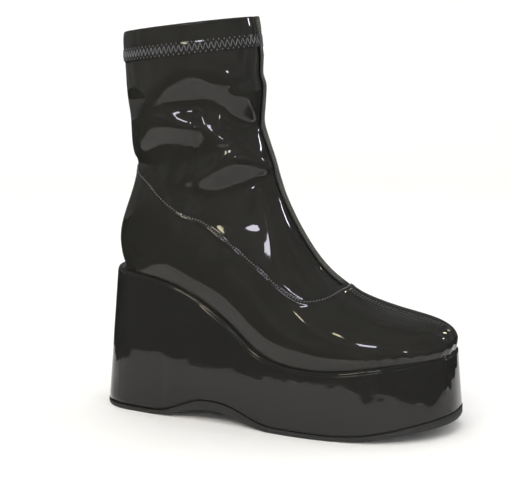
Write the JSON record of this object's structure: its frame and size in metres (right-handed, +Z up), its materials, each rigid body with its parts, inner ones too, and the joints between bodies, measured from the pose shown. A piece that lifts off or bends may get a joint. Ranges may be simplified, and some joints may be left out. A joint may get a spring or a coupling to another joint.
{
  "type": "platform ankle boot",
  "caption": "Pull-on ankle boot with a glossy stretch upper, a raised front seam and a tall wrapped wedge platform, for the right foot.",
  "frame": {"origin": "on the floor, below the middle of the boot's bounding box", "axes": "+X to the toe, +Y to the inner side of the foot, +Z up"},
  "size_m": [0.2628, 0.1034, 0.2811],
  "materials": {
    "patent_upper": "black patent vinyl on stretch cloth, high gloss",
    "seam_tape": "woven tape, matt, dark grey",
    "patent_cover": "black patent vinyl cover over a light foam block, high gloss",
    "rubber_tread": "matt black rubber",
    "lining": "matt black textile"
  },
  "bodies": {
    "root": {"upper": "patent_upper", "front_seam_tape": "seam_tape", "platform": "patent_cover", "outsole": "rubber_tread", "insole": "lining"}
  },
  "joints": []
}
